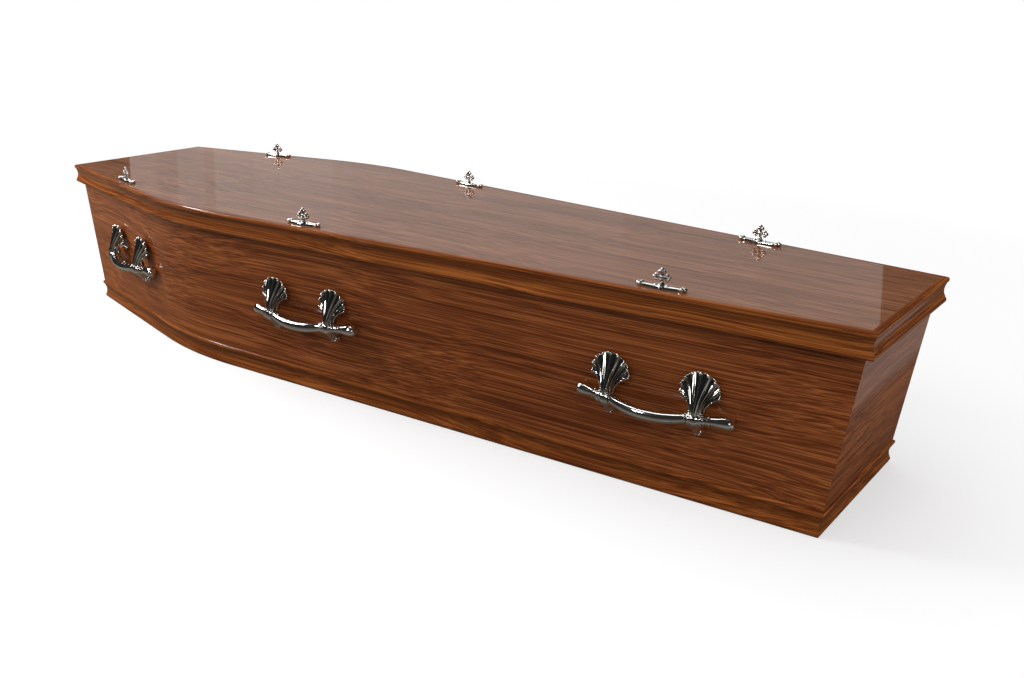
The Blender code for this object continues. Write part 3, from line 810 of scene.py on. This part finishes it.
def add_tail(bm):
    """The ribbed tail under the ring, the rosette on the board and the lug behind the fan."""
    foot = Vector((0, -0.0100, -ROSETTE_DROP))
    top = Vector((0, 0.0040 - KNUCKLE_OUT, -0.0030))
    length = (foot - top).length
    profile = []
    for step in range(13):
        along = step / 12
        profile.append((0.0104 - 0.0040 * smooth_step(along, 0.1, 1.0), length * along))
    stem = frame_along(foot - top, top)
    add_turned(bm, profile, stem, 6 * TAIL_RIBS, ribs=TAIL_RIBS, rib_depth=0.0011)
    out = Matrix.Translation((0, 0, -ROSETTE_DROP)) @ Matrix.Rotation(math.pi / 2, 4, "X")
    disc = [(0.0078, JOINT), (ROSETTE_RADIUS, 0.0012), (0.0082, 0.0040), (0.0060, 0.0085)]
    add_turned(bm, disc, out, 32)
    for petal in range(PETALS):
        angle = 2 * math.pi / PETALS * petal
        centre = Vector((0.0052 * math.cos(angle), 0.0052 * math.sin(angle), 0.0098))
        add_ball(bm, out @ centre, 0.0027, squash=0.8)
    add_ball(bm, out @ Vector((0, 0, 0.0112)), 0.0030)
    lug = Matrix.Translation((0, 0, SHELL_CENTRE)) @ Matrix.Rotation(math.pi / 2, 4, "X")
    add_turned(bm, [(0.0060, JOINT), (0.0060, 0.0030), (0.0050, 0.0140)], lug, 24)


def shell_mesh():
    bm = bmesh.new()
    add_fan(bm, bm.verts.layers.float.new("tarnish_and_shade"))
    axis = (math.cos(BAR_TILT), math.sin(BAR_TILT), 0)
    centre = Vector((0, -KNUCKLE_OUT, 0))
    add_turned(bm, ring_profile(), frame_along(axis, centre), 48, closed=True)
    add_tail(bm)
    return finish_mesh(bm, "shell", METAL_CREASE)


def mirrored_mesh(mesh, name):
    copy = mesh.copy()
    copy.name = name
    copy.transform(Matrix.Scale(-1, 4, (1, 0, 0)))
    copy.flip_normals()
    return copy


def station_frame(inset, x, side, height):
    """Stands on a side's face at x, with X along it and -Y out of it."""
    head_line, foot_line = edge_lines()
    bend = side_outline(0, -LID_LENGTH / 2, LID_LENGTH / 2)[SHOULDER_STEPS // 2 + 1]
    line = head_line if x < bend.x else foot_line
    point = on_line(line, inset, x)
    normal = Vector((line[1].x, line[1].y * side, 0))
    turn = math.atan2(normal.x, -normal.y)
    origin = Vector((point.x, point.y * side, height))
    return Matrix.Translation(origin) @ Matrix.Rotation(turn, 4, "Z")


def handles():
    bar = bar_mesh()
    right = shell_mesh()
    left = mirrored_mesh(right, "shell_left")
    for side, side_name in SIDES:
        for station, x in HANDLE_STATIONS.items():
            name = f"{side_name}_{station}_handle"
            place = station_frame(SIDE_OVERHANG, x, side, HANDLE_HEIGHT)
            show(f"{name}_bar", bar, "polished_nickel", place)
            for mesh, offset, hand in ((left, -0.5, "left"), (right, 0.5, "right")):
                shift = Matrix.Translation((KNUCKLE_SPACING * offset, 0, 0))
                show(f"{name}_shell_{hand}", mesh, "polished_nickel", place @ shift)


# Lid screws: X along the lid's edge, Z up, the origin on the lid


def plate_half_width(x):
    """The plate is a long lozenge that narrows to its balls."""
    end = PLATE_HALF_LENGTH - BUD_END
    share = abs(x) / end
    return PLATE_HALF_WIDTH * (1 - 0.42 * share - 0.24 * smooth_step(share, 0.8, 1.0))


def plate_height(share):
    """Height over the plate's width, from 0 in the middle to 1 at the edge: rim, groove, crown."""
    crown = 0.88 + 0.12 * math.cos(share * math.pi / 2)
    groove = 0.12 * math.exp(-(((share - 0.72) / 0.08) ** 2))
    edge = smooth_step(share, 0.88, 1.0) * 0.30
    return PLATE_THICK * (crown - groove - edge)


def add_plate(bm):
    end = PLATE_HALF_LENGTH - BUD_END
    rows = []
    for step in range(61):
        x = end * (step / 30 - 1)
        width = plate_half_width(x)
        row = []
        for across in range(-16, 17):
            share = across / 16
            row.append(Vector((x, width * share, plate_height(abs(share)))))
        row += [Vector((x, width, JOINT)), Vector((x, -width, JOINT))]
        rows.append(row)
    add_skin(bm, rows, closed_rows=True, cap=True)


def add_trefoil(bm, centre, outward, upward, radius, reach):
    """Three balls at the end of an arm."""
    for direction in (outward, upward, -upward):
        add_ball(bm, centre + direction * reach, radius)
    add_ball(bm, centre, radius * 0.9, segments=12, rings=8)


def plate_mesh():
    bm = bmesh.new()
    add_plate(bm)
    lift = Vector((0, 0, PLATE_BALL_LIFT))
    across = Vector((0, 1, 0))
    for side in (-1, 1):
        outward = Vector((side, 0, 0))
        centre = outward * (PLATE_HALF_LENGTH - BUD_END) + lift
        add_trefoil(bm, centre, outward, across, PLATE_BALL_RADIUS, PLATE_BALL_REACH)
        add_ball(bm, outward * STUD_OUT + Vector((0, 0, STUD_LIFT)), STUD_RADIUS)
    top = PLATE_THICK + BOSS_HEIGHT
    profile = [(BOSS_RADIUS, 0.0012), (BOSS_RADIUS, 0.0044), (BOSS_RADIUS * 0.92, 0.0048)]
    profile += [(BOSS_RADIUS * 0.80, 0.0049), (BOSS_RADIUS * 0.76, 0.0054)]
    profile += [(BOSS_RADIUS * 0.66, top - 0.0003), (BOSS_RADIUS * 0.56, top)]
    add_turned(bm, profile, Matrix.Identity(4), 32)
    return finish_mesh(bm, "screw_plate", METAL_CREASE)


def cross_mesh():
    bm = bmesh.new()
    tarnish_and_shade = bm.verts.layers.float.new("tarnish_and_shade")
    middle = Vector((0, 0, CROSS_HEIGHT - CROSS_ARM - BUD_END))
    collar = [(0.0044, 0.0), (0.0046, 0.0008), (0.0040, 0.0016), (0.0026, 0.0022)]
    collar += [(0.0034, 0.0030), (0.0032, 0.0038), (0.0023, 0.0046), (0.0020, middle.z)]
    add_turned(bm, collar, Matrix.Identity(4), 24)
    arms = (Vector((1, 0, 0)), Vector((-1, 0, 0)), Vector((0, 0, 1)))
    for outward in arms:
        points = [middle + outward * CROSS_ARM * step / 8 for step in range(9)]
        radii = [ARM_RADIUS - ARM_WAIST * math.sin(math.pi * step / 8) for step in range(9)]
        add_tube(bm, points, radii, 14)
    # tarnish and painted shade darken the collar and the arms, not the balls
    for vertex in bm.verts:
        vertex[tarnish_and_shade] = CROSS_TARNISH_AND_SHADE
    for outward in arms:
        upward = Vector((outward.z, 0, abs(outward.x)))
        add_trefoil(bm, middle + outward * CROSS_ARM, outward, upward, BALL_RADIUS, BALL_REACH)
    add_ball(bm, middle, HEART_RADIUS, squash=0.85)
    return finish_mesh(bm, "lid_screw", METAL_CREASE)


def lid_screws():
    plate = plate_mesh()
    cross = cross_mesh()
    stand = Matrix.Translation((0, 0, PLATE_THICK + BOSS_HEIGHT + JOINT))
    for side, side_name in SIDES:
        for station, x in SCREW_STATIONS.items():
            name = f"{side_name}_{station}_lid_screw"
            place = station_frame(SCREW_INSET, x, side, HEIGHT)
            show(f"{name}_plate", plate, "polished_nickel", place)
            show(f"{name}_cross", cross, "polished_nickel", place @ stand)


# Materials


def new_material(name):
    made = bpy.data.materials.new(name)
    made.use_nodes = True
    tree = made.node_tree
    return made, tree, tree.nodes["Principled BSDF"]


def add_node(tree, kind, links=(), **settings):
    """A node with its settings, and (input, value or output) pairs for its sockets."""
    made = tree.nodes.new(kind)
    for key, value in settings.items():
        setattr(made, key, value)
    for key, value in links:
        join(tree, made.inputs[key], value)
    return made


def join(tree, socket, value):
    if isinstance(value, bpy.types.NodeSocket):
        tree.links.new(value, socket)
    else:
        socket.default_value = value


def maths(tree, operation, first, second):
    made = tree.nodes.new("ShaderNodeMath")
    made.operation = operation
    join(tree, made.inputs[0], first)
    join(tree, made.inputs[1], second)
    return made.outputs[0]


def noise(tree, place, stretch, detail=2.0, rough=0.5):
    """Noise on a place that is stretched by (along, across, into) the wood."""
    scaled = add_node(
        tree, "ShaderNodeVectorMath", [(0, place), (1, stretch)], operation="MULTIPLY"
    )
    made = add_node(
        tree,
        "ShaderNodeTexNoise",
        [("Vector", scaled.outputs[0]), ("Scale", 1.0), ("Detail", detail), ("Roughness", rough)],
    )
    return made.outputs["Fac"]


def ramp(tree, value, stops):
    made = add_node(tree, "ShaderNodeValToRGB", [("Fac", value)])
    elements = made.color_ramp.elements
    while len(elements) < len(stops):
        elements.new(0.5)
    for element, (place, colour) in zip(elements, stops):
        element.position = place
        element.color = (*colour, 1.0)
    return made.outputs["Color"]


def spread(tree, value, low, high):
    """Stretches a narrow range of a value to 0 to 1."""
    made = add_node(
        tree,
        "ShaderNodeMapRange",
        [("Value", value), ("From Min", low), ("From Max", high)],
        clamp=True,
    )
    return made.outputs["Result"]


def mixed(tree, share, first, second):
    """A colour between two colours, by a share of the second."""
    made = add_node(tree, "ShaderNodeMix", data_type="RGBA")
    join(tree, made.inputs[0], share)
    for socket, value in ((made.inputs[6], first), (made.inputs[7], second)):
        join(tree, socket, (*value, 1.0) if isinstance(value, tuple) else value)
    return made.outputs[2]


def wavy_place(tree, amount):
    """The place in the wood, with the grain wandering gently across."""
    grain = add_node(tree, "ShaderNodeAttribute", attribute_name="grain").outputs["Vector"]
    wander = noise(tree, grain, (1.7, 4.0, 4.0), 1.0)
    offset = maths(tree, "MULTIPLY", maths(tree, "SUBTRACT", wander, 0.5), amount)
    shift = add_node(tree, "ShaderNodeCombineXYZ", [("Y", offset), ("Z", offset)])
    moved = add_node(
        tree, "ShaderNodeVectorMath", [(0, grain), (1, shift.outputs[0])], operation="ADD"
    )
    return moved.outputs[0]


def veneer(name, tones, coat_rough, coat=0.6, coat_ior=1.45, tarnish_and_shade=0.0):
    """Straight-grained reddish veneer under clear gloss lacquer, from dark, middle, light tones."""
    made, tree, shader = new_material(name)
    dark, middle, light = tones
    place = wavy_place(tree, 0.05)
    broad = spread(tree, noise(tree, place, (0.8, 16.0, 16.0), 2.0), 0.30, 0.70)
    bands = spread(tree, noise(tree, place, (1.4, 90.0, 90.0), 3.0, 0.6), 0.32, 0.68)
    lines = spread(tree, noise(tree, place, (1.8, 460.0, 460.0), 2.0, 0.6), 0.38, 0.62)
    pores = spread(tree, noise(tree, place, (4.0, 520.0, 520.0), 2.0), 0.53, 0.62)
    tone = maths(tree, "MULTIPLY", broad, 0.22)
    tone = maths(tree, "ADD", tone, maths(tree, "MULTIPLY", bands, 0.22))
    tone = maths(tree, "ADD", tone, maths(tree, "MULTIPLY", lines, 0.56))
    colour = ramp(tree, tone, [(0.16, dark), (0.50, middle), (0.86, light)])
    colour = mixed(tree, maths(tree, "MULTIPLY", pores, 0.70), colour, dark)
    # painted shade, darkest in a moulding's cove under the nose
    if tarnish_and_shade:
        depth = add_node(tree, "ShaderNodeAttribute", attribute_name="tarnish_and_shade").outputs["Fac"]
        colour = mixed(tree, maths(tree, "MULTIPLY", depth, tarnish_and_shade), colour, dark)
    join(tree, shader.inputs["Base Color"], colour)
    rough = maths(tree, "ADD", maths(tree, "MULTIPLY", lines, 0.12), 0.45)
    join(tree, shader.inputs["Roughness"], rough)
    shader.inputs["Specular IOR Level"].default_value = 0.1
    shader.inputs["Coat Weight"].default_value = coat
    shader.inputs["Coat Roughness"].default_value = coat_rough
    shader.inputs["Coat IOR"].default_value = coat_ior
    bump = add_node(
        tree, "ShaderNodeBump", [("Strength", 0.25), ("Distance", 0.0004), ("Height", lines)]
    )
    join(tree, shader.inputs["Normal"], bump.outputs["Normal"])
    return made


def side_veneer():
    tones = (0.088, 0.019, 0.004), (0.215, 0.056, 0.014), (0.352, 0.110, 0.031)
    return veneer("lacquered veneer", tones, coat_rough=0.08)


def lid_veneer():
    tones = (0.105, 0.034, 0.014), (0.225, 0.084, 0.034), (0.345, 0.145, 0.068)
    return veneer("lacquered lid veneer", tones, coat_rough=0.03, coat=1.0, coat_ior=1.6)


def moulding_wood():
    tones = (0.090, 0.020, 0.004), (0.215, 0.057, 0.010), (0.340, 0.108, 0.022)
    # with painted shade in the cove under the nose
    return veneer("lacquered moulding", tones, coat_rough=0.08, tarnish_and_shade=0.35)


def plain_board():
    made, tree, shader = new_material("bare board")
    place = wavy_place(tree, 0.03)
    fibres = noise(tree, place, (6.0, 140.0, 140.0), 4.0, 0.6)
    colour = ramp(tree, fibres, [(0.3, (0.26, 0.15, 0.08)), (0.7, (0.52, 0.36, 0.21))])
    join(tree, shader.inputs["Base Color"], colour)
    shader.inputs["Roughness"].default_value = 0.7
    return made


def nickel():
    """Polished nickel plate, a little cloudy, and darkened in places by tarnish and painted shade.
    """
    made, tree, shader = new_material("nickel plate")
    place = add_node(tree, "ShaderNodeTexCoord").outputs["Object"]
    cloud = noise(tree, place, (90.0, 90.0, 90.0), 3.0)
    colour = ramp(tree, cloud, [(0.3, (0.74, 0.72, 0.68)), (0.7, (0.90, 0.89, 0.87))])
    depth = add_node(tree, "ShaderNodeAttribute", attribute_name="tarnish_and_shade").outputs["Fac"]
    # tarnish and painted shade on the flutes, the shells' backs and the cross's arms
    colour = mixed(tree, maths(tree, "MULTIPLY", depth, 0.85), colour, (0.10, 0.09, 0.08))
    join(tree, shader.inputs["Base Color"], colour)
    shader.inputs["Metallic"].default_value = 1.0
    rough = maths(tree, "ADD", maths(tree, "MULTIPLY", cloud, 0.08), 0.03)
    join(tree, shader.inputs["Roughness"], rough)
    return made


# Studio: floor, lights, world and camera


def floor():
    """A plain pale floor that fades to white, and that the coffin mirrors as dark."""
    mesh = bpy.data.meshes.new("floor")
    bm = bmesh.new()
    bmesh.ops.create_circle(bm, cap_ends=True, segments=96, radius=60)
    bm.to_mesh(mesh)
    bm.free()
    made, tree, shader = new_material("floor")
    tree.nodes.remove(shader)
    mirrored_floor = add_node(tree, "ShaderNodeBsdfDiffuse", [("Color", (0.085, 0.075, 0.06, 1))])
    pale = add_node(tree, "ShaderNodeBsdfDiffuse", [("Color", (0.90, 0.90, 0.90, 1))])
    white = add_node(tree, "ShaderNodeEmission", [("Color", (1, 1, 1, 1))])
    place = add_node(tree, "ShaderNodeNewGeometry").outputs["Position"]
    reach = add_node(tree, "ShaderNodeVectorMath", [(0, place)], operation="LENGTH")
    far = add_node(
        tree,
        "ShaderNodeMapRange",
        [("Value", reach.outputs["Value"]), ("From Min", 1.0), ("From Max", 2.2), ("To Min", 0.5)],
    )
    seen = add_node(tree, "ShaderNodeMixShader", [(0, far.outputs["Result"])])
    tree.links.new(pale.outputs[0], seen.inputs[1])
    tree.links.new(white.outputs[0], seen.inputs[2])
    ray = add_node(tree, "ShaderNodeLightPath")
    whole = add_node(tree, "ShaderNodeMixShader", [(0, ray.outputs["Is Camera Ray"])])
    tree.links.new(mirrored_floor.outputs[0], whole.inputs[1])
    tree.links.new(seen.outputs[0], whole.inputs[2])
    tree.links.new(whole.outputs[0], tree.nodes["Material Output"].inputs["Surface"])
    mesh.materials.append(made)
    link_object("floor", mesh)


def heading(azimuth, elevation):
    """The direction that a view looks in, from degrees."""
    turn = math.radians(azimuth)
    lift = math.radians(elevation)
    level = math.cos(lift)
    return Vector((-math.sin(turn) * level, math.cos(turn) * level, math.sin(lift)))


def area_light(name, place, backward, size, radiance, glossy=True):
    """A rectangular light, its size across and up, with its back to a direction."""
    light = bpy.data.lights.new(name, "AREA")
    light.shape = "RECTANGLE"
    light.size, light.size_y = size
    light.energy = radiance * math.pi * size[0] * size[1]
    obj = link_object(name, light)
    obj.location = place
    obj.rotation_euler = backward.to_track_quat("Z", "Y").to_euler()
    obj.visible_camera = False
    obj.visible_glossy = glossy
    return obj


def softbox(name, target, azimuth, elevation, distance, size, radiance, glossy=True):
    """A light that faces a target, from a direction in degrees and a distance."""
    towards = heading(azimuth, elevation)
    place = Vector(target) + towards * distance
    return area_light(name, place, towards, size, radiance, glossy)


def floor_card(name, place, size, radiance, glossy=True):
    """A light that lies on the floor and faces up, as a pale card would throw it back."""
    return area_light(name, place, Vector((0, 0, -1)), size, radiance, glossy)


def sparkle(light):
    """Keeps a light to the metal fittings, for the small highlights on their polish."""
    light.light_linking.receiver_collection = fittings


def wood_lights():
    shoulder = (-0.42, -0.28, HEIGHT)
    middle = (0.0, 0.0, 0.2)
    head = (-0.8, -0.2, 0.2)
    foot = (0.95, 0.0, 0.2)
    softbox("key", shoulder, 98.5, 37, 3.0, size=(2.3, 0.25), radiance=24.0)
    softbox("top", middle, 180, 68, 3.0, size=(3.2, 0.4), radiance=0.3)
    softbox("fill", middle, 190, 35, 5.0, size=(4.0, 3.0), radiance=1.3, glossy=False)
    softbox("head_fill", head, 116, 28, 2.4, size=(1.2, 1.2), radiance=17.0, glossy=False)
    softbox("foot_fill", foot, 255, 25, 4.0, size=(2.0, 1.6), radiance=8.5, glossy=False)
    softbox("overhead", middle, 30, 80, 4.0, size=(4.0, 4.0), radiance=1.4, glossy=False)
    floor_card("bounce", (0, 0, 0.005), size=(5.0, 4.0), radiance=0.16, glossy=False)
    floor_card("foot_card", (1.45, 0.25, 0.010), size=(0.8, 1.2), radiance=0.24)


def metal_lights():
    handle = (HANDLE_STATIONS["foot"], -0.2, HANDLE_HEIGHT)
    sparkle(softbox("sparkle_left", handle, 102, 34, 5.0, size=(1.7, 1.7), radiance=9.0))
    sparkle(softbox("sparkle_front", handle, 152, 39, 5.0, size=(0.5, 0.4), radiance=28.0))
    sparkle(softbox("sparkle_strip", handle, 108, 68, 5.0, size=(0.3, 2.5), radiance=9.0))
    sparkle(softbox("sparkle_right", handle, 222, 34, 5.0, size=(1.1, 1.1), radiance=9.0))
    sparkle(softbox("sparkle_head", handle, 62, 20, 5.0, size=(1.4, 1.4), radiance=5.0))
    sparkle(softbox("sparkle_back", handle, 38, 32, 7.0, size=(7.0, 2.4), radiance=1.6))
    for side in (-1, 1):
        place = (0, side * 0.40, 0.010)
        sparkle(floor_card("sparkle_floor", place, size=(2.4, 0.16), radiance=0.09))


def lid_screen():
    """A tall pale screen behind the far side, leaning to the camera, which the lid mirrors."""
    tangent = SENSOR_WIDTH / CAMERA_LENS / PICTURE_WIDTH  # of one pixel of the picture
    pixel = tangent * SCREEN_BACK / math.cos(CAMERA_ELEVATION)  # on the screen, in metres
    ahead = Vector((-math.sin(CAMERA_AZIMUTH), math.cos(CAMERA_AZIMUTH), 0))
    across = Vector((math.cos(CAMERA_AZIMUTH), math.sin(CAMERA_AZIMUTH), 0))
    facing = Matrix.Rotation(SCREEN_LEAN, 4, across) @ ahead
    middle = Vector(CAMERA_PLACE) + ahead * SCREEN_BACK
    middle.z = SCREEN_LOW + SCREEN_HEIGHT / 2
    for left, right, strength in zip(SCREEN_FOLDS, SCREEN_FOLDS[1:], SCREEN_STRENGTHS):
        offset = ((left + right) / 2 - PICTURE_WIDTH / 2) * pixel
        size = ((right - left) * pixel, SCREEN_HEIGHT)
        area_light("lid_screen", middle + across * offset, facing, size, strength)


def world():
    """White to the camera, softly lit for the wood and dark in reflections, as a studio is."""
    made = bpy.data.worlds.new("studio")
    bpy.context.scene.world = made
    made.use_nodes = True
    tree = made.node_tree
    shader = tree.nodes["Background"]
    ray = add_node(tree, "ShaderNodeLightPath")
    soft = mixed(tree, ray.outputs["Is Glossy Ray"], (0.30, 0.30, 0.30), (0.025, 0.025, 0.025))
    colour = mixed(tree, ray.outputs["Is Camera Ray"], soft, (1.0, 1.0, 1.0))
    join(tree, shader.inputs["Color"], colour)


def camera():
    data = bpy.data.cameras.new("camera")
    data.lens = CAMERA_LENS
    data.sensor_width = SENSOR_WIDTH
    obj = link_object("camera", data)
    obj.location = CAMERA_PLACE
    obj.rotation_euler = (math.pi / 2 - CAMERA_ELEVATION, 0, CAMERA_AZIMUTH)
    bpy.context.scene.camera = obj


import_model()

fittings = bpy.data.collections.new("fittings")
finishes = {
    "gloss_veneer": side_veneer(),
    "gloss_lid_veneer": lid_veneer(),
    "gloss_moulding": moulding_wood(),
    "plain_board": plain_board(),
    "polished_nickel": nickel(),
}

camera()
world()
floor()
wood_lights()
metal_lights()
lid_screen()
base_board()
plinth()
side_board("near_side_board", -1, 1)
side_board("far_side_board", 1, 2)
end_board("head_board", head_corner, HEAD_LEAN, math.pi, 3)
end_board("foot_board", foot_corner, FOOT_LEAN, 0, 4)
lid()
handles()
lid_screws()

bpy.context.scene.view_settings.view_transform = "Standard"
